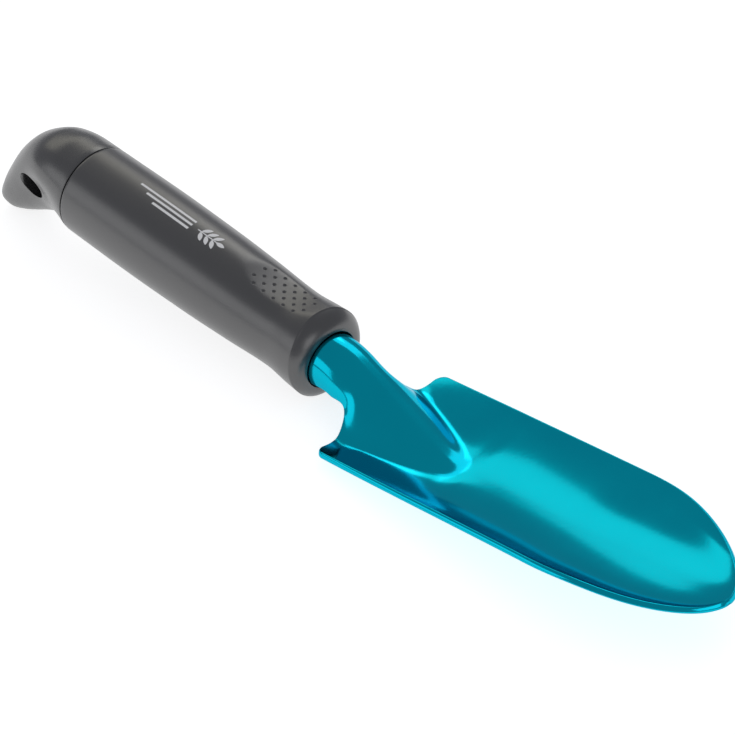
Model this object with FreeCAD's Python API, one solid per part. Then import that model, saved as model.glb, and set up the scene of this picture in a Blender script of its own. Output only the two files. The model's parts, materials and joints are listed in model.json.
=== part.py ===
import FreeCAD, Part
import math
import os

# Hand trowel, millimetres.
# The parts are drawn in the handle's own frame: +X runs along the grip towards the tip of the blade,
# +Z is the thumb-rest side, and x = 0 is the joint between the grip and its end cap.
# The finished parts are then laid on a table, where the trowel rests on the hook of its cap
# and on the belly of its blade.

Vec = FreeCAD.Vector

# Sheet-metal blade
SHEET = 2.0            # thickness
TUBE_R = 10.0          # outer radius of the rolled tang and neck
TUBE_WRAP = 125.0      # degrees from the crest to each free edge of the rolled tang
NECK_WRAP = 100.0      # the same where the sheet starts to open out
UNWRAP_START = 113.0   # where the free edges start to draw apart
TANG_START = 56.0      # where the tang begins, inside the grip
NECK_END = 128.0       # where the sheet starts to open out into the shoulders
SHOULDER_LEN = 13.0    # depth of the rounded notch between neck and shoulder
SHOULDER_DROP = 15.0   # width of that notch
CORNER_R = 3.5         # shoulder corner radius
HALF_WIDTH = 27.6      # half the blade's width
TAPER_START = 235.0    # where the sides start to close towards the tip
TIP_X = 291.4          # tip
TIP_FADE = 3.0         # half width below which the walls fade into the point
BOSS_HALF = 18.8       # half width of the boss's foot, BOSS_LEN behind its front
BOSS_LEN = 40.0
BOSS_END = 182.5       # front of the boss that carries the neck into the blade
BLADE_RISE = 0.222     # rise of the blade's floor per millimetre of length
BOSS_FILLET = 2.2      # softness of the valley round the boss's foot
CREST_FALL = 0.365     # fall of the neck's crest per millimetre of length
CREST_ROUND = 28.0     # larger makes the boss's crest rounder
LIP_DROP = 1.6         # how far the floor dips before it curls up to the tip
LIP_START = 195.0

# Grip
GRIP_RISE = 1.4        # grip centre line above the tang's
GRIP_LEN = 118.2
GRIP_PROFILE = [(0.0, 16.2), (30.0, 16.4), (60.0, 16.0), (80.0, 15.3), (100.0, 14.4), (110.0, 15.1), (119.0, 15.6)]
FINGER_FLARE = 0.5     # extra depth of the collar on the finger side
MOUTH_R = 10.6         # hole that the neck leaves by
MOUTH_DEPTH = 5.0
BORE_R = 11.4          # inside of the soft sleeve
THUMB_X = 95.5         # centre of the thumb rest
THUMB_HALF = 16.0
THUMB_Z = 13.1         # height of the thumb rest's floor over the grip's centre line
DIMPLE_PITCH = 2.4
DIMPLE_R = 0.6
DIMPLE_DEPTH = 0.5
SEAM_R = 0.5

# Hard core
CORE_START = 9.0
SLOT_CLEAR = 0.05
LUG_X = 78.0
LUG_R = 3.0

# End cap
SPIGOT_LEN = 8.5
SPIGOT_CLEAR = 0.1
HANG_R = 5.0
HANG_X = -22.7
HANG_Z = -4.7
CAP_BACK = [(0.0, 17.6), (-9.0, 17.6), (-17.5, 16.4), (-26.0, 12.0), (-33.2, 4.8), (-39.2, -4.2),
            (-44.0, -13.0), (-46.8, -20.5), (-44.5, -26.3)]       # side view, over the top to the beak
CAP_BELLY = [(0.0, -14.8), (-6.0, -14.6), (-12.0, -15.2), (-18.0, -17.2), (-24.0, -20.0), (-29.0, -22.8),
             (-34.0, -25.3), (-39.0, -26.9), (-44.5, -26.3)]      # side view, underneath to the beak
CAP_BACK_HALF = [(0.0, 16.2), (0.2, 16.0), (0.4, 13.8), (0.6, 11.2), (0.8, 8.8), (0.93, 5.8), (1.0, 0.0)]
CAP_BELLY_HALF = [(0.0, 16.2), (0.2, 12.6), (0.4, 9.4), (0.6, 8.8), (0.8, 7.6), (0.93, 5.0), (1.0, 0.0)]


def soft_max(a, b, width):
    return 0.5 * (a + b + math.sqrt((a - b) ** 2 + width * width))


def soft_min(a, b, width):
    return 0.5 * (a + b - math.sqrt((a - b) ** 2 + width * width))


def ease(t):
    t = min(max(t, 0.0), 1.0)
    return t * t * (3.0 - 2.0 * t)


def span(a, b, n):
    return [a + (b - a) * i / (n - 1.0) for i in range(n)]


def along(stations, x):
    # Smooth curve through (position, value) stations, with no overshoot.
    n = len(stations)
    slopes = []
    for i in range(n - 1):
        slopes.append((stations[i + 1][1] - stations[i][1]) / (stations[i + 1][0] - stations[i][0]))
    tangents = [slopes[0]]
    for i in range(1, n - 1):
        a = slopes[i - 1]
        b = slopes[i]
        tangents.append(0.0 if a * b <= 0.0 else 2.0 * a * b / (a + b))
    tangents.append(slopes[-1])
    k = 0
    while k < n - 2 and x > stations[k + 1][0]:
        k += 1
    h = stations[k + 1][0] - stations[k][0]
    t = min(max((x - stations[k][0]) / h, 0.0), 1.0)
    start = (2 * t ** 3 - 3 * t ** 2 + 1) * stations[k][1] + (t ** 3 - 2 * t ** 2 + t) * h * tangents[k]
    end = (3 * t ** 2 - 2 * t ** 3) * stations[k + 1][1] + (t ** 3 - t ** 2) * h * tangents[k + 1]
    return start + end


# ---------------------------------------------------------------- blade

def half_width(x):
    q = min(max((x - TAPER_START) / (TIP_X - TAPER_START), 0.0), 1.0)
    return HALF_WIDTH * (1.0 - q * q) ** 0.62


def floor_z(x):
    q = min(max((x - TAPER_START) / (TIP_X - TAPER_START), 0.0), 1.0)
    lip = LIP_DROP * ease((x - LIP_START) / (TIP_X - LIP_START)) * (1.0 - q ** 10)
    return soft_max(-10.8, -10.4 + BLADE_RISE * (x - 174.0), 3.0) - lip


def rim_z(x):
    return soft_min(-7.0 + 0.2 * (x - 143.0), 14.9, 2.0)


def crest_z(x):
    return soft_min(TUBE_R, 8.1 - CREST_FALL * (x - 130.7), 1.5)


def trough(x, y, w):
    # The walls hold their slope towards the tip, where the trough narrows.
    power = 2.4 + 1.0 * ease((x - TAPER_START + 15.0) / (TIP_X - TAPER_START))
    # They fade out where the sheet narrows to its point.
    rise = soft_max(rim_z(x) - floor_z(x), 0.0, 0.8) * (1.0 - math.exp(-(w / TIP_FADE) ** 2))
    return floor_z(x) + rise * abs(y / w) ** power


def boss(x, y):
    w = BOSS_HALF * math.sqrt(max((BOSS_END - x) / BOSS_LEN, 0.02))
    fall = max(crest_z(x) - floor_z(x) + 2.0, 2.0)
    spread = math.hypot(w, CREST_ROUND) - CREST_ROUND
    nose = 0.05 * max(x - BOSS_END + 8.0, 0.0) ** 2
    return crest_z(x) - nose - fall * (math.hypot(y, CREST_ROUND) - CREST_ROUND) / spread


def plan_outline():
    # Half outline of the blade seen from above: notch, shoulder corner, straight side.
    points = []
    for a in span(0.0, 90.0, 60):
        r = math.radians(a)
        points.append((NECK_END + SHOULDER_LEN * math.sin(r), 8.0 + SHOULDER_DROP * (1.0 - math.cos(r))))
    corner_x = NECK_END + SHOULDER_LEN + CORNER_R
    for a in span(180.0, 90.0, 30)[1:]:
        r = math.radians(a)
        points.append((corner_x + CORNER_R * math.cos(r), HALF_WIDTH - CORNER_R + CORNER_R * math.sin(r)))
    points.append((SIDE_START, HALF_WIDTH))
    return points


def outline_point(points, fraction):
    lengths = [0.0]
    for a, b in zip(points, points[1:]):
        lengths.append(lengths[-1] + math.hypot(b[0] - a[0], b[1] - a[1]))
    goal = fraction * lengths[-1]
    k = 0
    while k < len(lengths) - 2 and lengths[k + 1] < goal:
        k += 1
    t = (goal - lengths[k]) / (lengths[k + 1] - lengths[k])
    a = points[k]
    b = points[k + 1]
    return a[0] + t * (b[0] - a[0]), a[1] + t * (b[1] - a[1])


SIDE_START = 168.0
OUTLINE = plan_outline()


def sheet_point(s, v):
    # s is the station along the centre line, v runs from -1 to 1 across the sheet.
    unwrap = ease((s - UNWRAP_START) / (NECK_END - UNWRAP_START))
    turn = math.radians(TUBE_WRAP + (NECK_WRAP - TUBE_WRAP) * unwrap) * v
    tube = Vec(s, TUBE_R * math.sin(turn), TUBE_R * math.cos(turn) + crest_z(s) - TUBE_R)
    if s <= NECK_END:
        return tube
    if s < SIDE_START:
        edge_x, edge_y = outline_point(OUTLINE, (s - NECK_END) / (SIDE_START - NECK_END))
        w = HALF_WIDTH
    else:
        edge_x = s
        edge_y = half_width(s)
        w = edge_y
    x = s + (edge_x - s) * v * v
    y = edge_y * v
    flat = Vec(x, y, soft_max(trough(x, y, w), boss(x, y), BOSS_FILLET))
    blend = ease((s - NECK_END) / (29.0 - 14.0 * v * v))
    return tube * (1.0 - blend) + flat * blend


def offset_rows(rows, distance):
    # Moves every grid point along the local normal, away from the crest side.
    moved = []
    last = len(rows) - 1
    for i, row in enumerate(rows):
        ahead = rows[min(i + 1, last)]
        behind = rows[max(i - 1, 0)]
        end = len(row) - 1
        new_row = []
        for j, p in enumerate(row):
            lengthwise = ahead[j] - behind[j]
            across = row[min(j + 1, end)] - row[max(j - 1, 0)]
            normal = lengthwise.cross(across)
            normal.normalize()
            new_row.append(p - normal * distance)
        moved.append(new_row)
    return moved


def skin(rows):
    surface = Part.BSplineSurface()
    surface.interpolate(rows)
    return surface


def sheet_solid(rows, thickness):
    outer = skin(rows)
    inner = skin(offset_rows(rows, thickness))
    u0, u1, v0, v1 = outer.bounds()
    a0, a1, b0, b1 = inner.bounds()
    faces = [outer.toShape(), inner.toShape()]
    pairs = [
        (outer.uIso(u0), inner.uIso(a0)),
        (outer.uIso(u1), inner.uIso(a1)),
        (outer.vIso(v0), inner.vIso(b0)),
        (outer.vIso(v1), inner.vIso(b1)),
    ]
    for first, second in pairs:
        faces.append(Part.makeRuledSurface(first.toShape(), second.toShape(), 1))
    shell = Part.makeShell(faces)
    shell.sewShape()
    solid = Part.makeSolid(shell)
    if solid.Volume < 0.0:
        solid.reverse()
    return solid


def make_blade():
    stations = span(TANG_START, NECK_END, 14)[:-1]
    stations += span(NECK_END, SIDE_START, 37)[:-1]
    stations += span(SIDE_START, TAPER_START, 18)[:-1]
    for a in span(0.0, 87.0, 20):
        stations.append(TAPER_START + (TIP_X - TAPER_START) * math.sin(math.radians(a)))
    rows = [[sheet_point(s, v) for v in span(-1.0, 1.0, 33)] for s in stations]
    blade = sheet_solid(rows, SHEET)
    lug_hole = Part.makeCylinder(LUG_R, 6.0, Vec(LUG_X, 0, 6.0), Vec(0, 0, 1))
    return blade.cut(lug_hole)


# ---------------------------------------------------------------- grip

def grip_point(x, degrees):
    # degrees are counted from the thumb-rest side.
    turn = math.radians(degrees)
    radius = along(GRIP_PROFILE, x)
    y = radius * math.sin(turn)
    z = radius * math.cos(turn)
    z -= FINGER_FLARE * ease((x - 100.0) / 14.0) * (0.5 - 0.5 * math.cos(turn)) ** 2
    rest = THUMB_Z + 2.0 * ((x - THUMB_X) / THUMB_HALF) ** 2
    z = soft_min(z, rest, 0.5)
    return Vec(x, y, z + GRIP_RISE)


def ring(point, x, count):
    return [point(x, 360.0 * i / count) for i in range(count)]


def closed_wire(points):
    curve = Part.BSplineCurve()
    curve.interpolate(points, True)
    return Part.Wire([curve.toShape()])


def seam_groove():
    # Fine groove where the cap meets the sleeve, shared by both.
    return Part.makeTorus(GRIP_PROFILE[0][1] + 0.2, SEAM_R, Vec(0, 0, GRIP_RISE), Vec(1, 0, 0))


def make_sleeve():
    stations = span(0.0, 70.0, 8)[:-1] + span(70.0, GRIP_LEN + 1.0, 18)
    body = Part.makeLoft([closed_wire(ring(grip_point, x, 48)) for x in stations], True)
    # Domed front face: everything outside this turned envelope is removed.
    crease = Vec(GRIP_LEN - 6.4, 0, GRIP_RISE + 16.2)
    brow = Vec(GRIP_LEN - 1.6, 0, GRIP_RISE + 14.4)
    face = Vec(GRIP_LEN, 0, MOUTH_R + 0.6)
    profile = [
        Part.LineSegment(Vec(-1, 0, 0), Vec(-1, 0, 30)).toShape(),
        Part.LineSegment(Vec(-1, 0, 30), Vec(crease.x, 0, 30)).toShape(),
        Part.LineSegment(Vec(crease.x, 0, 30), crease).toShape(),
        Part.Arc(crease, brow, face).toShape(),
        Part.LineSegment(face, Vec(GRIP_LEN, 0, 0)).toShape(),
        Part.LineSegment(Vec(GRIP_LEN, 0, 0), Vec(-1, 0, 0)).toShape(),
    ]
    envelope = Part.Face(Part.Wire(profile)).revolve(Vec(0, 0, 0), Vec(1, 0, 0), 360)
    body = body.common(envelope)
    body = body.cut(Part.makeCylinder(BORE_R, GRIP_LEN - MOUTH_DEPTH + 1.0, Vec(-1, 0, 0), Vec(1, 0, 0)))
    body = body.cut(Part.makeCylinder(MOUTH_R, GRIP_LEN + 2.0, Vec(-1, 0, 0), Vec(1, 0, 0)))
    return body.cut(seam_groove()).cut(Part.makeCompound(thumb_dimples()))


def thumb_dimples():
    pits = []
    columns = 11
    for i in range(columns):
        x = THUMB_X + DIMPLE_PITCH * (i - (columns - 1) / 2.0)
        offsets = [-4.8, 0.0, 4.8] if i % 2 else [-2.4, 2.4]
        for y in offsets:
            z = GRIP_RISE + THUMB_Z + 2.0 * ((x - THUMB_X) / THUMB_HALF) ** 2
            pits.append(Part.makeCylinder(DIMPLE_R, 3.0, Vec(x, y, z - DIMPLE_DEPTH), Vec(0, 0, 1)))
    return pits


def make_core():
    body = Part.makeCylinder(BORE_R, GRIP_LEN - MOUTH_DEPTH - CORE_START, Vec(CORE_START, 0, 0), Vec(1, 0, 0))
    # Slot that takes the rolled tang.
    inner_r = TUBE_R - SHEET - SLOT_CLEAR
    outer_r = TUBE_R + SLOT_CLEAR
    half = math.radians(TUBE_WRAP + 0.6)
    ends = []
    for side in (-1, 1):
        for r in (inner_r, outer_r):
            ends.append(Vec(TANG_START - 0.2, side * r * math.sin(half), r * math.cos(half)))
    crest = Vec(TANG_START - 0.2, 0, 0)
    section = Part.Wire([
        Part.Arc(ends[0], crest + Vec(0, 0, inner_r), ends[2]).toShape(),
        Part.LineSegment(ends[2], ends[3]).toShape(),
        Part.Arc(ends[3], crest + Vec(0, 0, outer_r), ends[1]).toShape(),
        Part.LineSegment(ends[1], ends[0]).toShape(),
    ])
    slot = Part.Face(section).extrude(Vec(GRIP_LEN, 0, 0))
    lug = Part.makeCylinder(LUG_R - SLOT_CLEAR, 6.0, Vec(LUG_X, 0, 5.5), Vec(0, 0, 1))
    return body.cut(slot.cut(lug))


# ---------------------------------------------------------------- end cap

def outline_at(outline, u):
    step = 1.0 / (len(outline) - 1)
    x = along([(i * step, p[0]) for i, p in enumerate(outline)], u)
    z = along([(i * step, p[1]) for i, p in enumerate(outline)], u)
    return Vec(x, 0, z)


def cap_point(u, degrees):
    # u runs from 0 at the grip to 1 at the point of the beak.
    turn = math.radians(degrees)
    back = outline_at(CAP_BACK, u)
    belly = outline_at(CAP_BELLY, u)
    low = along(CAP_BELLY_HALF, u)
    high = along(CAP_BACK_HALF, u)
    rise = 0.5 + 0.5 * math.cos(turn)
    y = math.sin(turn) * (low + (high - low) * ease((rise - 0.35) / 0.5))
    return belly + (back - belly) * rise + Vec(0, y, 0)


def make_cap():
    stations = [1.0 - (1.0 - t) ** 1.6 for t in span(0.0, 0.95, 22)]
    body = Part.makeLoft([closed_wire(ring(cap_point, u, 48)) for u in stations], True)
    spigot = Part.makeCylinder(BORE_R - SPIGOT_CLEAR, SPIGOT_LEN + 1.0, Vec(-1, 0, 0), Vec(1, 0, 0))
    body = body.fuse(spigot)
    hanging_hole = Part.makeCylinder(HANG_R, 60.0, Vec(HANG_X, -30, HANG_Z), Vec(0, 1, 0))
    return body.cut(hanging_hole).cut(seam_groove())


# ---------------------------------------------------------------- resting pose

def lowest(points, tilt):
    return min(p.z * math.cos(tilt) - p.x * math.sin(tilt) for p in points)


def resting_tilt(rear, front):
    # Tilt about Y at which the rear and front parts touch the table together.
    low = 0.0
    high = math.radians(15.0)
    for _ in range(40):
        mid = 0.5 * (low + high)
        if lowest(rear, mid) > lowest(front, mid):
            high = mid
        else:
            low = mid
    return 0.5 * (low + high)


parts = {
    "blade": make_blade(),
    "grip_core": make_core(),
    "grip_sleeve": make_sleeve(),
    "end_cap": make_cap(),
}

points = {name: shape.tessellate(0.05)[0] for name, shape in parts.items()}
tilt = resting_tilt(points["end_cap"], points["blade"] + points["grip_sleeve"])

rotation = FreeCAD.Placement(Vec(0, 0, 0), FreeCAD.Rotation(Vec(0, 1, 0), math.degrees(tilt)))
laid = [rotation.multVec(p) for group in points.values() for p in group]
middle = 0.5 * (min(p.x for p in laid) + max(p.x for p in laid))
base = min(p.z for p in laid)
rest = FreeCAD.Placement(Vec(-middle, 0, -base), rotation.Rotation)

for name, shape in parts.items():
    placed = shape.transformed(rest.toMatrix(), True)
    placed.exportStep("parts/" + name + ".step")
    print(name, "solids", len(placed.Solids), "valid", placed.isValid(), "volume", round(placed.Volume, 1))

print("resting tilt", round(math.degrees(tilt), 4), "shift", round(-middle, 4), round(-base, 4))
hole = rest.multVec(Vec(HANG_X, 0, HANG_Z))
print("hanging hole centre", round(hole.x, 4), round(hole.z, 4))
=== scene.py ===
import json
import math

import bmesh
import bpy
import numpy as np
from mathutils import Matrix, Vector


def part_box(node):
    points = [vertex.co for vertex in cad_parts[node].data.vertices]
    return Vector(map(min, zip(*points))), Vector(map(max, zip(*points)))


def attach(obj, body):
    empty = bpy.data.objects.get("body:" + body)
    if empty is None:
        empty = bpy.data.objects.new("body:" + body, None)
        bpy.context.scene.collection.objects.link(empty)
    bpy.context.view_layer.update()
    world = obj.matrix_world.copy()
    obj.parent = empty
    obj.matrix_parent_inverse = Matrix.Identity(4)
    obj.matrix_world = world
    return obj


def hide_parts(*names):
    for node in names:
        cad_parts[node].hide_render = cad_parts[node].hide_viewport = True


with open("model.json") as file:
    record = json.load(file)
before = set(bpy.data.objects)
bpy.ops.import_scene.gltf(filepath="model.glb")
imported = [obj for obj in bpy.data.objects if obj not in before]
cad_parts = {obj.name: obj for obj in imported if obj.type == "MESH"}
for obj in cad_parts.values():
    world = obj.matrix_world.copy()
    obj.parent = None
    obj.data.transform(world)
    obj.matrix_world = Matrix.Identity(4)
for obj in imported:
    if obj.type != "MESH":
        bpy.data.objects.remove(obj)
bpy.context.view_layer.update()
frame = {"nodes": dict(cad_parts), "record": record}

# ------------------------------------------------------------------ from the handle's frame to the row's
# Shapes are written in millimetres in the handle's own frame: x along the grip from the cap joint towards
# the blade, z on the thumb-rest side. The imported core, a plain cylinder, gives the tilt of the trowel as it
# lies, and the hanging hole gives its place.

CORE_LENGTH = 104.2
CORE_WIDTH = 22.8
HANG = Vector((-22.7, 0.0, -4.7))
HANG_R = 5.0

low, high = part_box("grip_core")
core_dx = (high[0] - low[0]) * 1000.0
core_dz = (high[2] - low[2]) * 1000.0
TILT = math.atan2(CORE_LENGTH * core_dz - CORE_WIDTH * core_dx,
                  CORE_LENGTH * core_dx - CORE_WIDTH * core_dz)
mount = next(m for m in frame["record"]["mounts"] if m["name"] == "hanging_hole")
LAY = Matrix.Rotation(TILT, 4, "Y")
LAY.translation = Vector(mount["pos_m"]) - LAY.to_3x3() @ (HANG * 0.001)
LAY3 = np.array(LAY.to_3x3())
SHIFT = np.array(LAY.translation)


def laid(points):
    """Handle frame, mm, to row frame, m."""
    return np.asarray(points, float) @ LAY3.T * 0.001 + SHIFT


# ------------------------------------------------------------------ small maths

def soft_max(a, b, k):
    return 0.5 * (a + b + np.sqrt((a - b) ** 2 + k * k))


def soft_min(a, b, k):
    return 0.5 * (a + b - np.sqrt((a - b) ** 2 + k * k))


def ease(t):
    t = np.clip(t, 0.0, 1.0)
    return t * t * (3.0 - 2.0 * t)


def along(stations, x):
    """Smooth monotone curve through (position, value) stations, for an array of positions."""
    px = np.array([s[0] for s in stations], float)
    py = np.array([s[1] for s in stations], float)
    slope = np.diff(py) / np.diff(px)
    tangent = np.empty(len(px))
    tangent[0] = slope[0]
    tangent[-1] = slope[-1]
    a, b = slope[:-1], slope[1:]
    same = a * b > 0.0
    tangent[1:-1] = np.where(same, 2.0 * a * b / np.where(same, a + b, 1.0), 0.0)
    k = np.clip(np.searchsorted(px, x, side="right") - 1, 0, len(px) - 2)
    h = px[k + 1] - px[k]
    t = np.clip((x - px[k]) / h, 0.0, 1.0)
    first = (2 * t ** 3 - 3 * t ** 2 + 1) * py[k] + (t ** 3 - 2 * t ** 2 + t) * h * tangent[k]
    return first + (3 * t ** 2 - 2 * t ** 3) * py[k + 1] + (t ** 3 - t ** 2) * h * tangent[k + 1]


# ------------------------------------------------------------------ meshes

def laid_object(name, points, faces):
    """Closed mesh from handle-frame points, with its normals facing out, as an object in the scene."""
    data = bpy.data.meshes.new(name)
    data.from_pydata([tuple(p) for p in laid(points)], [], faces)
    data.validate()
    work = bmesh.new()
    work.from_mesh(data)
    bmesh.ops.recalc_face_normals(work, faces=work.faces)
    work.to_mesh(data)
    work.free()
    obj = bpy.data.objects.new(name, data)
    bpy.context.scene.collection.objects.link(obj)
    return obj


def shade(data, smooth):
    data.polygons.foreach_set("use_smooth", [smooth] * len(data.polygons))


def mesh_piece(name, points, faces, node=None, smooth=True):
    piece = laid_object(name, points, faces)
    shade(piece.data, smooth)
    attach(piece, "root")
    if node:
        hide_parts(node)
    return piece


def round_ring(x, radius, turn):
    """Circle about the handle's axis at x."""
    return np.stack([np.full_like(turn, x), radius * np.sin(turn), radius * np.cos(turn)], 1)


def loop_faces(rows, columns, wrap_rows=False):
    """Quads between closed loops of equal length."""
    faces = []
    for i in range(rows if wrap_rows else rows - 1):
        k = (i + 1) % rows
        for j in range(columns):
            n = (j + 1) % columns
            faces.append((i * columns + j, i * columns + n, k * columns + n, k * columns + j))
    return faces


# ------------------------------------------------------------------ blade

SHEET = 2.0
TUBE_R = 10.0
TUBE_WRAP = math.radians(125.0)
NECK_WRAP = math.radians(100.0)
UNWRAP_START = 113.0
TANG_START = 56.0
NECK_END = 128.0
SHOULDER_LEN = 13.0
SHOULDER_DROP = 15.0
CORNER_R = 3.5
HALF_WIDTH = 27.6
SIDE_START = 168.0
TAPER_START = 235.0
TIP_X = 291.4
TIP_FADE = 3.0
BOSS_HALF = 18.8
BOSS_LEN = 40.0
BOSS_END = 182.5
BOSS_FILLET = 2.2
BOSS_SINK = 2.0         # how far the boss's foot runs below the floor
NOSE_LEN = 8.0
NOSE_CURVE = 0.05
CREST_ROUND = 28.0
CREST_X = 130.7         # the falling crest passes CREST_Z here
CREST_Z = 8.1
CREST_FALL = 0.365
CREST_BEND = 1.5
FLOOR_LOW = -10.8       # level rear of the dish
FLOOR_X = 174.0         # the rising floor passes FLOOR_Z here
FLOOR_Z = -10.4
FLOOR_RISE = 0.222
FLOOR_BEND = 3.0
LIP_DROP = 1.6
LIP_START = 195.0
LIP_POWER = 10
RIM_X = 143.0           # the rising rim passes RIM_Z here
RIM_Z = -7.0
RIM_RISE = 0.2
RIM_TOP = 14.9
RIM_BEND = 2.0
TAPER_POWER = 0.62
WALL_POWER = 2.4
WALL_LEAD = 15.0        # the power starts to rise this far before the taper
WALL_BEND = 0.8
NOTCH_Y = 8.0           # half width at which the shoulder's outline starts
BLEND_MID = 29.0        # length over which neck becomes dish, on the centre line
BLEND_TRIM = 14.0       # how much shorter it is at the edges
TIP_STOP = 87.0         # degrees; 90 would pinch the last row to nothing
EDGE_V = 0.992          # extra column just inside each cut edge
EDGE_ROUND = ((0.14, 0.2), (0.5, 0.28), (0.86, 0.2))    # (part of the thickness, bulge in mm)


def taper_part(x):
    return np.clip((x - TAPER_START) / (TIP_X - TAPER_START), 0.0, 1.0)


def half_width(x):
    q = taper_part(x)
    return HALF_WIDTH * (1.0 - q * q) ** TAPER_POWER


def floor_z(x):
    lip = LIP_DROP * ease((x - LIP_START) / (TIP_X - LIP_START)) * (1.0 - taper_part(x) ** LIP_POWER)
    return soft_max(FLOOR_LOW, FLOOR_Z + FLOOR_RISE * (x - FLOOR_X), FLOOR_BEND) - lip


def rim_z(x):
    return soft_min(RIM_Z + RIM_RISE * (x - RIM_X), RIM_TOP, RIM_BEND)


def crest_z(x):
    return soft_min(TUBE_R, CREST_Z - CREST_FALL * (x - CREST_X), CREST_BEND)


def trough(x, y, w):
    # The power rises towards the tip, so that the inner walls keep their slope as the trough narrows.
    power = WALL_POWER + ease((x - TAPER_START + WALL_LEAD) / (TIP_X - TAPER_START))
    # The walls fade out where the sheet narrows to its point.
    rise = soft_max(rim_z(x) - floor_z(x), 0.0, WALL_BEND) * (1.0 - math.exp(-(w / TIP_FADE) ** 2))
    return floor_z(x) + rise * np.abs(y / w) ** power


def boss(x, y):
    w = BOSS_HALF * np.sqrt(np.clip((BOSS_END - x) / BOSS_LEN, 0.02, None))
    fall = np.maximum(crest_z(x) - floor_z(x) + BOSS_SINK, BOSS_SINK)
    spread = np.hypot(w, CREST_ROUND) - CREST_ROUND
    nose = NOSE_CURVE * np.maximum(x - BOSS_END + NOSE_LEN, 0.0) ** 2
    return crest_z(x) - nose - fall * (np.hypot(y, CREST_ROUND) - CREST_ROUND) / spread


def plan_outline():
    """Rear outline of the sheet seen from above: notch by the neck, corner, straight side."""
    a = np.linspace(0.0, np.pi / 2, 120)
    notch = np.stack([NECK_END + SHOULDER_LEN * np.sin(a), NOTCH_Y + SHOULDER_DROP * (1.0 - np.cos(a))], 1)
    b = np.linspace(np.pi, np.pi / 2, 60)[1:]
    corner_x = NECK_END + SHOULDER_LEN + CORNER_R
    corner = np.stack([corner_x + CORNER_R * np.cos(b), HALF_WIDTH - CORNER_R + CORNER_R * np.sin(b)], 1)
    outline = np.concatenate([notch, corner, [[SIDE_START, HALF_WIDTH]]])
    run = np.concatenate([[0.0], np.cumsum(np.hypot(*np.diff(outline, axis=0).T))])
    return outline, run / run[-1]


OUTLINE, RUN = plan_outline()


def sheet_row(s, v):
    """Upper surface at station s, for positions v from edge (-1) to edge (1)."""
    unwrap = ease((s - UNWRAP_START) / (NECK_END - UNWRAP_START))
    turn = v * (TUBE_WRAP + (NECK_WRAP - TUBE_WRAP) * unwrap)
    crest = crest_z(s)
    tube = np.stack([np.full_like(v, s), TUBE_R * np.sin(turn), TUBE_R * np.cos(turn) + crest - TUBE_R], 1)
    if s <= NECK_END:
        return tube
    if s < SIDE_START:
        part = (s - NECK_END) / (SIDE_START - NECK_END)
        edge_x = np.interp(part, RUN, OUTLINE[:, 0])
        edge_y = np.interp(part, RUN, OUTLINE[:, 1])
        w = HALF_WIDTH
    else:
        edge_x = s
        edge_y = w = float(half_width(s))
    x = s + (edge_x - s) * v * v
    y = edge_y * v
    flat = np.stack([x, y, soft_max(trough(x, y, w), boss(x, y), BOSS_FILLET)], 1)
    blend = ease((s - NECK_END) / (BLEND_MID - BLEND_TRIM * v * v))[:, None]
    return tube * (1.0 - blend) + flat * blend


def make_blade():
    stations = np.concatenate([
        np.linspace(TANG_START, NECK_END, 40)[:-1],
        np.linspace(NECK_END, SIDE_START, 110)[:-1],
        np.linspace(SIDE_START, TAPER_START, 50)[:-1],
        TAPER_START + (TIP_X - TAPER_START) * np.sin(np.radians(np.linspace(0.0, TIP_STOP, 60))),
    ])
    v = np.linspace(-1.0, 1.0, 89)
    v = np.concatenate([[-1.0, -EDGE_V], v[1:-1], [EDGE_V, 1.0]])
    top = np.array([sheet_row(s, v) for s in stations])
    normal = np.cross(np.gradient(top, axis=0), np.gradient(top, axis=1))
    normal /= np.linalg.norm(normal, axis=2, keepdims=True)
    under = top - normal * SHEET
    # Rounded cut edges, carried round each station as one closed loop.
    outward_left = top[:, 0] - top[:, 1]
    outward_right = top[:, -1] - top[:, -2]
    loops = []
    for t, u, left, right in zip(top, under, outward_left, outward_right):
        left = left / np.linalg.norm(left)
        right = right / np.linalg.norm(right)
        edge_r = [t[-1] + (u[-1] - t[-1]) * f + right * b for f, b in EDGE_ROUND]
        edge_l = [u[0] + (t[0] - u[0]) * f + left * b for f, b in EDGE_ROUND]
        loops.append(np.concatenate([t, edge_r, u[::-1], edge_l]))
    points = np.concatenate(loops)
    columns = len(loops[0])
    faces = loop_faces(len(loops), columns)
    # The two ends are closed by strips between the sheet's upper and lower rows.
    n = len(v)
    for base in (0, (len(loops) - 1) * columns):
        upper = [base + j for j in range(n)]
        lower = [base + n + 3 + (n - 1 - j) for j in range(n)]
        for j in range(n - 1):
            faces.append((upper[j], upper[j + 1], lower[j + 1], lower[j]))
        faces.append((upper[-1], base + n, base + n + 1, base + n + 2, lower[-1]))
        faces.append((lower[0], base + 2 * n + 3, base + 2 * n + 4, base + 2 * n + 5, upper[0]))
    return mesh_piece("blade_sheet", points, faces, "blade")


# ------------------------------------------------------------------ grip

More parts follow.
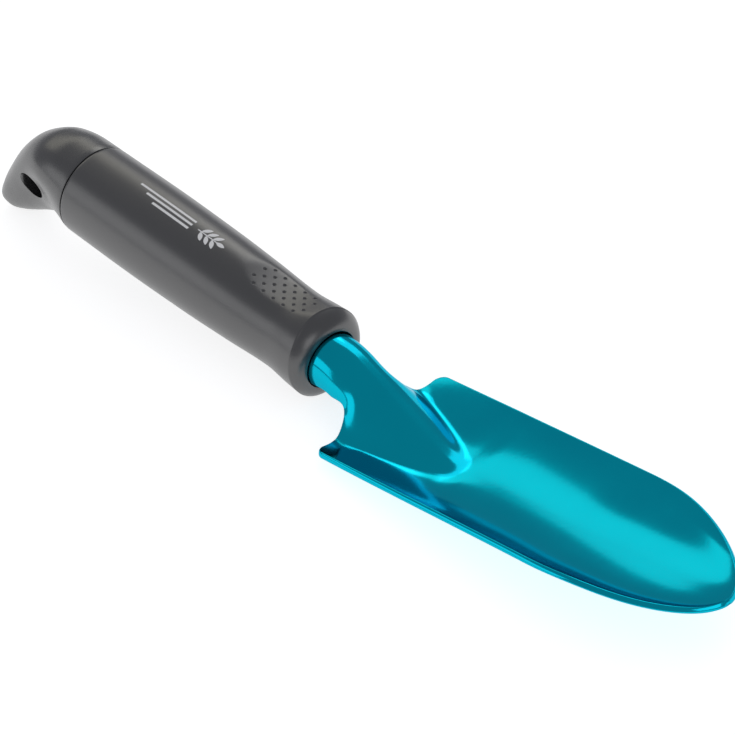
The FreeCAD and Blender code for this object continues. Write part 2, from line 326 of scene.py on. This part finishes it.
GRIP_RISE = 1.4
GRIP_LEN = 118.2
SEAM_R = 16.2
GRIP_PROFILE = [(0.0, SEAM_R), (30.0, 16.4), (60.0, 16.0), (80.0, 15.3), (100.0, 14.4), (110.0, 15.1),
                (119.0, 15.6)]
FINGER_FLARE = 0.5      # the collar bulges this much on the finger side
FLARE_START = 100.0
FLARE_RUN = 14.0
MOUTH_R = 10.6
BORE_R = 11.4
CORE_FRONT = 113.2
THUMB_X = 95.5
THUMB_HALF = 16.0
THUMB_Z = 13.1
THUMB_DISH = 2.0
THUMB_BEND = 0.5
FINE_TURN = 0.5         # half angle of the finely divided strip over the thumb rest, radians
REAR_ROUND = ((0.12, 0.75), (0.15, 0.45), (0.3, 0.16), (0.6, 0.02))    # (x, shrink) at the cap seam
DIMPLE_PITCH = 2.4
DIMPLE_R = 0.62
DIMPLE_DEPTH = 0.45
FRONT_CREASE = 32.0
CREASE_LEAN = 5.0
CREASE_X = 111.7
CREASE_RUN = 0.5
DOME_X = 112.3
DOME_SHRINK = 0.14
DOME_REACH = 0.94
LIP_R = 10.3
# (offset from the grip's front, radius): over the lip and back to the core.
LIP_STEPS = ((0.0, LIP_R + 0.2), (-0.1, LIP_R + 0.06), (-0.3, LIP_R), (-1.5, LIP_R), (-1.7, MOUTH_R),
             (CORE_FRONT - GRIP_LEN, MOUTH_R))
BORE_STOPS = (CORE_FRONT, 60.0, 0.12)


def thumb_floor(x):
    return THUMB_Z + THUMB_DISH * ((x - THUMB_X) / THUMB_HALF) ** 2


def grip_ring(x, turn, shrink=0.0):
    x = np.broadcast_to(np.asarray(x, float), turn.shape)
    radius = along(GRIP_PROFILE, x) - shrink
    y = radius * np.sin(turn)
    z = radius * np.cos(turn)
    z = z - FINGER_FLARE * ease((x - FLARE_START) / FLARE_RUN) * (0.5 - 0.5 * np.cos(turn)) ** 2
    z = soft_min(z, thumb_floor(x) - shrink, THUMB_BEND)
    return np.stack([x, y, z + GRIP_RISE], 1)


def dimple_centres():
    centres = []
    columns = 11
    for i in range(columns):
        x = THUMB_X + DIMPLE_PITCH * (i - (columns - 1) / 2.0)
        for y in ((-2, 0, 2) if i % 2 else (-1, 1)):
            centres.append((x, y * DIMPLE_PITCH))
    return np.array(centres)


def make_sleeve():
    # Finer columns over the thumb rest, so that the dimples are real geometry.
    near = np.linspace(-FINE_TURN, FINE_TURN, 91)
    rest = np.linspace(FINE_TURN, 2 * np.pi - FINE_TURN, 110)[1:-1]
    turn = np.concatenate([near, rest])
    dimples = dimple_centres()
    rows = []
    for x, shrink in REAR_ROUND:
        rows.append(grip_ring(x, turn, shrink))
    stations = np.concatenate([np.linspace(1.2, 79.0, 66), np.arange(79.2, 111.8, 0.22)])
    for x in stations:
        ring = grip_ring(x, turn)
        top = ring[:, 2] > GRIP_RISE + 8.0
        gap = np.hypot(dimples[:, 0, None] - x, dimples[:, 1, None] - ring[None, :, 1]).min(0)
        pit = DIMPLE_DEPTH * ease((DIMPLE_R - gap) / (0.55 * DIMPLE_R))
        ring[:, 2] -= np.where(top, pit, 0.0)
        rows.append(ring)
    # Domed front: the crease leans forward from the thumb side to the finger side, then the face turns in.
    lean = CREASE_LEAN * ((0.52 - 0.5 * np.cos(turn)) ** 0.45 - 0.02 ** 0.45)
    for part in (0.25, 0.5, 0.75, 1.0):
        rows.append(grip_ring(CREASE_X + part * (CREASE_RUN + lean), turn))
    edge = grip_ring(DOME_X + lean, turn, DOME_SHRINK)
    rows.append(edge)
    mouth = round_ring(GRIP_LEN, LIP_R, turn)
    start = math.radians(FRONT_CREASE)
    for a in np.linspace(start, np.pi / 2, 18)[1:]:
        inward = 1.0 - np.cos(a) / math.cos(start)
        forward = (np.sin(a) - math.sin(start)) / (1.0 - math.sin(start))
        ring = edge + (mouth - edge) * inward * DOME_REACH
        ring[:, 0] = edge[:, 0] + (GRIP_LEN - edge[:, 0]) * forward
        rows.append(ring)
    for dx, r in LIP_STEPS:
        rows.append(round_ring(GRIP_LEN + dx, r, turn))
    for x in BORE_STOPS:
        rows.append(round_ring(x, BORE_R, turn))
    points = np.concatenate(rows)
    faces = loop_faces(len(rows), len(turn), wrap_rows=True)
    return mesh_piece("grip_soft_sleeve", points, faces, "grip_sleeve")


# ------------------------------------------------------------------ printed mark

PRINT_TURN = math.radians(-6.0)
PRINT_TOP = 0.03
PRINT_FOOT = -0.05
BARS = ((24.0, 1.9), (29.0, 0.0), (34.0, -1.9))     # (start, position across)
BAR_END = 52.0
BAR_HALF = 0.45
STEM_START = 55.0
STEM_END = 64.0
STEM_HALF = 0.2
LEAF_BASES = (56.6, 59.4, 62.2)
LEAF_LEN = 3.8
LEAF_LEAN = math.radians(48.0)


def on_grip(flat, height):
    """Wraps (along, across) points, in mm, onto the grip."""
    x = flat[:, 0]
    radius = along(GRIP_PROFILE, x)
    turn = PRINT_TURN + flat[:, 1] / radius
    radius = radius + height
    return np.stack([x, radius * np.sin(turn), radius * np.cos(turn) + GRIP_RISE], 1)


def ribbon(path, half_widths):
    """Thin closed strip of ink along a flat path; returns points and faces."""
    path = np.asarray(path, float)
    run = np.gradient(path, axis=0)
    run /= np.linalg.norm(run, axis=1, keepdims=True)
    across = np.stack([-run[:, 1], run[:, 0]], 1)
    lanes = np.linspace(-1.0, 1.0, 7)
    loops = []
    for p, n, w in zip(path, across, half_widths):
        row = p + n * w * lanes[:, None]
        loops.append(np.concatenate([on_grip(row, PRINT_TOP), on_grip(row[::-1], PRINT_FOOT)]))
    columns = 2 * len(lanes)
    faces = loop_faces(len(loops), columns)
    faces.append(tuple(range(columns)))
    faces.append(tuple(len(loops) * columns - 1 - k for k in range(columns)))
    return np.concatenate(loops), faces


def make_mark():
    strips = []
    for start, across in BARS:
        bar = np.stack([np.linspace(start, BAR_END, 24), np.full(24, across)], 1)
        strips.append(ribbon(bar, np.full(24, BAR_HALF)))
    stem = np.stack([np.linspace(STEM_START, STEM_END, 12), np.zeros(12)], 1)
    strips.append(ribbon(stem, np.full(12, STEM_HALF)))
    t = np.linspace(0.0, 1.0, 14)
    leaf_half = 0.05 + 0.75 * np.sin(np.pi * t) ** 0.8
    leaves = [(STEM_END, 0.0, 0.0)]
    for base in LEAF_BASES:
        leaves += [(base, 0.25, LEAF_LEAN), (base, -0.25, -LEAF_LEAN)]
    for x, a, lean in leaves:
        leaf = np.stack([x + LEAF_LEN * t * math.cos(lean), a + LEAF_LEN * t * math.sin(lean)], 1)
        strips.append(ribbon(leaf, leaf_half))
    points = []
    faces = []
    count = 0
    for strip_points, strip_faces in strips:
        points.append(strip_points)
        faces += [tuple(count + k for k in face) for face in strip_faces]
        count += len(strip_points)
    return mesh_piece("printed_mark", np.concatenate(points), faces, smooth=False)


# ------------------------------------------------------------------ end cap

CAP_BACK = [(0.0, 17.6), (-9.0, 17.6), (-17.5, 16.4), (-26.0, 12.0), (-33.2, 4.8), (-39.2, -4.2),
            (-44.0, -13.0), (-46.8, -20.5), (-44.5, -26.3)]
CAP_BELLY = [(0.0, -14.8), (-6.0, -14.6), (-12.0, -15.2), (-18.0, -17.2), (-24.0, -20.0), (-29.0, -22.8),
             (-34.0, -25.3), (-39.0, -26.9), (-44.5, -26.3)]
CAP_BACK_HALF = [(0.0, SEAM_R), (0.2, 16.0), (0.4, 13.8), (0.6, 11.2), (0.8, 8.8), (0.93, 5.8), (1.0, 0.0)]
CAP_BELLY_HALF = [(0.0, SEAM_R), (0.2, 12.6), (0.4, 9.4), (0.6, 8.8), (0.8, 7.6), (0.93, 5.0), (1.0, 0.0)]
CAP_SEAM_ROUND = ((-0.12, 0.75), (-0.15, 0.45), (-0.3, 0.16))       # (x, shrink) at the grip seam
CAP_TIP_U = 0.9985
HOLE_SIDES = 72
HOLE_FLARE = [(-30.0, 5.7), (-11.2, 5.6), (-10.4, 5.25), (-9.8, 5.05), (-9.0, HANG_R)]   # (y, radius)
SHARP_ANGLE = math.radians(34.0)


def value_at(stations, u):
    return along(stations, np.array([u]))[0]


def outline_at(outline, u):
    steps = np.linspace(0.0, 1.0, len(outline))
    x = value_at(list(zip(steps, [p[0] for p in outline])), u)
    z = value_at(list(zip(steps, [p[1] for p in outline])), u)
    return np.array([x, 0.0, z])


def cap_ring(u, turn):
    back = outline_at(CAP_BACK, u)
    belly = outline_at(CAP_BELLY, u)
    low_half = value_at(CAP_BELLY_HALF, u)
    high_half = value_at(CAP_BACK_HALF, u)
    rise = 0.5 + 0.5 * np.cos(turn)
    y = np.sin(turn) * (low_half + (high_half - low_half) * ease((rise - 0.35) / 0.5))
    ring = belly + (back - belly) * rise[:, None]
    ring[:, 1] = y
    return ring


def hole_cutter():
    """Cutter for the hanging hole, with softly flared mouths."""
    flare = HOLE_FLARE + [(-y, r) for y, r in reversed(HOLE_FLARE)]
    points = []
    for y, r in flare:
        for k in range(HOLE_SIDES):
            a = 2 * np.pi * k / HOLE_SIDES
            points.append((HANG.x + r * math.cos(a), y, HANG.z + r * math.sin(a)))
    faces = loop_faces(len(flare), HOLE_SIDES)
    faces.append(tuple(range(HOLE_SIDES)))
    faces.append(tuple(len(flare) * HOLE_SIDES - 1 - k for k in range(HOLE_SIDES)))
    return laid_object("hole_tool", points, faces)


def cut_hanging_hole(cap):
    tool = hole_cutter()
    cut = cap.modifiers.new("hole", "BOOLEAN")
    cut.operation = "DIFFERENCE"
    cut.solver = "EXACT"
    cut.object = tool
    bpy.context.view_layer.update()
    graph = bpy.context.evaluated_depsgraph_get()
    carved = bpy.data.meshes.new_from_object(cap.evaluated_get(graph))
    cap.modifiers.clear()
    cap.data = carved
    bpy.data.objects.remove(tool)
    shade(carved, True)
    carved.set_sharp_from_angle(angle=SHARP_ANGLE)


def make_cap():
    turn = np.linspace(0.0, 2 * np.pi, 145)[:-1]
    rows = []
    centre = np.array([0.0, 0.0, GRIP_RISE])
    first = cap_ring(0.0, turn)
    for x, shrink in CAP_SEAM_ROUND:
        ring = centre + (first - centre) * (1.0 - shrink / SEAM_R)
        ring[:, 0] = x
        rows.append(ring)
    for u in 1.0 - (1.0 - np.linspace(0.012, 0.965, 84)) ** 1.6:
        rows.append(cap_ring(u, turn))
    points = np.concatenate(rows)
    faces = loop_faces(len(rows), len(turn))
    tip = len(points)
    hub = tip + 1
    points = np.concatenate([points, [cap_ring(CAP_TIP_U, turn).mean(0)], [[-0.12, 0.0, GRIP_RISE]]])
    last = (len(rows) - 1) * len(turn)
    for j in range(len(turn)):
        n = (j + 1) % len(turn)
        faces.append((last + j, last + n, tip))
        faces.append((n, j, hub))
    cap = mesh_piece("hook_cap", points, faces, "end_cap")
    cut_hanging_hole(cap)
    return cap


# ------------------------------------------------------------------ materials

def principled(name, colour, roughness, **sockets):
    material = bpy.data.materials.new(name)
    material.use_nodes = True
    shader = material.node_tree.nodes["Principled BSDF"]
    shader.inputs["Base Color"].default_value = (*colour, 1.0)
    shader.inputs["Roughness"].default_value = roughness
    for key, value in sockets.items():
        shader.inputs[key.replace("_", " ")].default_value = value
    return material, shader


def noise(material, scale, detail):
    nodes = material.node_tree.nodes
    links = material.node_tree.links
    where = nodes.new("ShaderNodeTexCoord")
    texture = nodes.new("ShaderNodeTexNoise")
    texture.inputs["Scale"].default_value = scale
    texture.inputs["Detail"].default_value = detail
    links.new(where.outputs["Object"], texture.inputs["Vector"])
    return texture


def vary(material, shader, socket, texture, low_value, high_value):
    mapping = material.node_tree.nodes.new("ShaderNodeMapRange")
    mapping.inputs["To Min"].default_value = low_value
    mapping.inputs["To Max"].default_value = high_value
    material.node_tree.links.new(texture.outputs["Fac"], mapping.inputs["Value"])
    material.node_tree.links.new(mapping.outputs["Result"], shader.inputs[socket])


def tint(material, shader, texture, first, second):
    ramp = material.node_tree.nodes.new("ShaderNodeValToRGB")
    ramp.color_ramp.elements[0].position = 0.3
    ramp.color_ramp.elements[1].position = 0.7
    ramp.color_ramp.elements[0].color = (*first, 1.0)
    ramp.color_ramp.elements[1].color = (*second, 1.0)
    material.node_tree.links.new(texture.outputs["Fac"], ramp.inputs["Fac"])
    material.node_tree.links.new(ramp.outputs["Color"], shader.inputs["Base Color"])


def grain(material, shader, texture, strength, distance):
    bump = material.node_tree.nodes.new("ShaderNodeBump")
    bump.inputs["Strength"].default_value = strength
    bump.inputs["Distance"].default_value = distance
    material.node_tree.links.new(texture.outputs["Fac"], bump.inputs["Height"])
    material.node_tree.links.new(bump.outputs["Normal"], shader.inputs["Normal"])


def enamel():
    material, shader = principled("teal_enamel", (0.0, 0.43, 0.57), 0.1, Metallic=1.0, Coat_Weight=0.06,
                                  Coat_Roughness=0.06, Specular_Tint=(0.35, 0.75, 0.85, 1.0))
    broad = noise(material, 60.0, 2.0)
    tint(material, shader, broad, (0.0, 0.42, 0.56), (0.0, 0.44, 0.58))
    vary(material, shader, "Roughness", broad, 0.12, 0.15)
    grain(material, shader, noise(material, 900.0, 2.0), 0.04, 0.0002)
    return material


def plastic(name, first, second, rough_low, rough_high, specular):
    material, shader = principled(name, first, rough_low, IOR=1.6, Specular_IOR_Level=specular)
    fine = noise(material, 2600.0, 3.0)
    tint(material, shader, fine, first, second)
    vary(material, shader, "Roughness", fine, rough_low, rough_high)
    grain(material, shader, fine, 0.12, 0.00015)
    return material


def wear(obj, material):
    obj.data.materials.clear()
    obj.data.materials.append(material)


# ------------------------------------------------------------------ build

GREYS = (0.018, 0.018, 0.019), (0.022, 0.022, 0.023)
CORE_GREYS = (0.014, 0.014, 0.015), (0.02, 0.02, 0.021)
WHITES = (0.88, 0.88, 0.88), (0.93, 0.93, 0.93)

blade = make_blade()
sleeve = make_sleeve()
cap = make_cap()
mark = make_mark()

wear(blade, enamel())
wear(sleeve, plastic("soft_grip", *GREYS, 0.27, 0.33, 1.0))
wear(cap, plastic("cap_satin", *GREYS, 0.25, 0.31, 1.0))
wear(mark, plastic("white_ink", *WHITES, 0.4, 0.5, 0.5))
wear(frame["nodes"]["grip_core"], plastic("core_moulding", *CORE_GREYS, 0.5, 0.6, 0.4))

# ------------------------------------------------------------------ floor, lights, camera

FLOOR_HALF = 6
floor_mesh = bpy.data.meshes.new("studio_floor")
floor_mesh.from_pydata([(x * FLOOR_HALF, y * FLOOR_HALF, 0) for x, y in ((-1, -1), (1, -1), (1, 1), (-1, 1))],
                       [], [(0, 1, 2, 3)])
floor = bpy.data.objects.new("studio_floor", floor_mesh)
bpy.context.scene.collection.objects.link(floor)
floor_material, _ = principled("pale_floor", (0.6, 0.6, 0.6), 0.9, Emission_Color=(1.0, 1.0, 1.0, 1.0),
                               Emission_Strength=0.78)
wear(floor, floor_material)

# Camera direction, distance and framing in the handle's frame, then laid down with the trowel.
VIEW_AZ = math.radians(46.45)
VIEW_EL = math.radians(40.02)
VIEW_ROLL = math.radians(1.11)
VIEW_DISTANCE = 1300.0
VIEW_ACROSS = 92.12
VIEW_UP = -59.19
PICTURE = 735.0         # pixels
PIXELS_PER_MM = 2.94    # at VIEW_DISTANCE
SENSOR = 36.0


def direction(azimuth, elevation):
    """Unit vector for an azimuth counted from -Y towards +X, and an elevation, in radians."""
    return Vector((math.sin(azimuth) * math.cos(elevation), -math.cos(azimuth) * math.cos(elevation),
                   math.sin(elevation)))


back = direction(VIEW_AZ, VIEW_EL)
side = Vector((math.cos(VIEW_AZ), math.sin(VIEW_AZ), 0.0))
up = back.cross(side)
right = math.cos(VIEW_ROLL) * side + math.sin(VIEW_ROLL) * up
up = -math.sin(VIEW_ROLL) * side + math.cos(VIEW_ROLL) * up
eye = (right * VIEW_ACROSS + up * VIEW_UP + back * VIEW_DISTANCE) * 0.001
aim = Matrix((right, up, back)).transposed().to_4x4()
aim.translation = eye
camera_data = bpy.data.cameras.new("camera")
camera_data.sensor_width = SENSOR
camera_data.lens = SENSOR * PIXELS_PER_MM * VIEW_DISTANCE / PICTURE
camera = bpy.data.objects.new("camera", camera_data)
bpy.context.scene.collection.objects.link(camera)
camera.matrix_world = LAY @ aim
bpy.context.scene.camera = camera


def softbox(name, azimuth, elevation, distance, width, height, power, colour=(1.0, 1.0, 1.0)):
    """Area light facing the trowel; angles in degrees."""
    away = direction(math.radians(azimuth), math.radians(elevation))
    data = bpy.data.lights.new(name, "AREA")
    data.shape = "RECTANGLE"
    data.size = width
    data.size_y = height
    data.energy = power
    data.color = colour
    light = bpy.data.objects.new(name, data)
    bpy.context.scene.collection.objects.link(light)
    facing = away.to_track_quat("Z", "Y").to_matrix().to_4x4()
    light.matrix_world = Matrix.Translation(away * distance) @ facing


softbox("key", 246.0, 37.6, 3.0, 3.2, 0.81, 8.0, (1.0, 0.96, 0.80))
softbox("grip_strip", 206.0, 40.0, 3.0, 1.5, 1.5, 8.0)
softbox("front", 325.0, 17.0, 3.0, 1.6, 1.3, 5.9)
softbox("fill", 75.0, 22.0, 2.4, 1.2, 1.2, 5.0)

world = bpy.data.worlds.new("studio")
world.use_nodes = True
world.node_tree.nodes["Background"].inputs["Color"].default_value = (0.96, 0.98, 1.06, 1.0)
world.node_tree.nodes["Background"].inputs["Strength"].default_value = 0.38
bpy.context.scene.world = world
bpy.context.scene.view_settings.view_transform = "Standard"
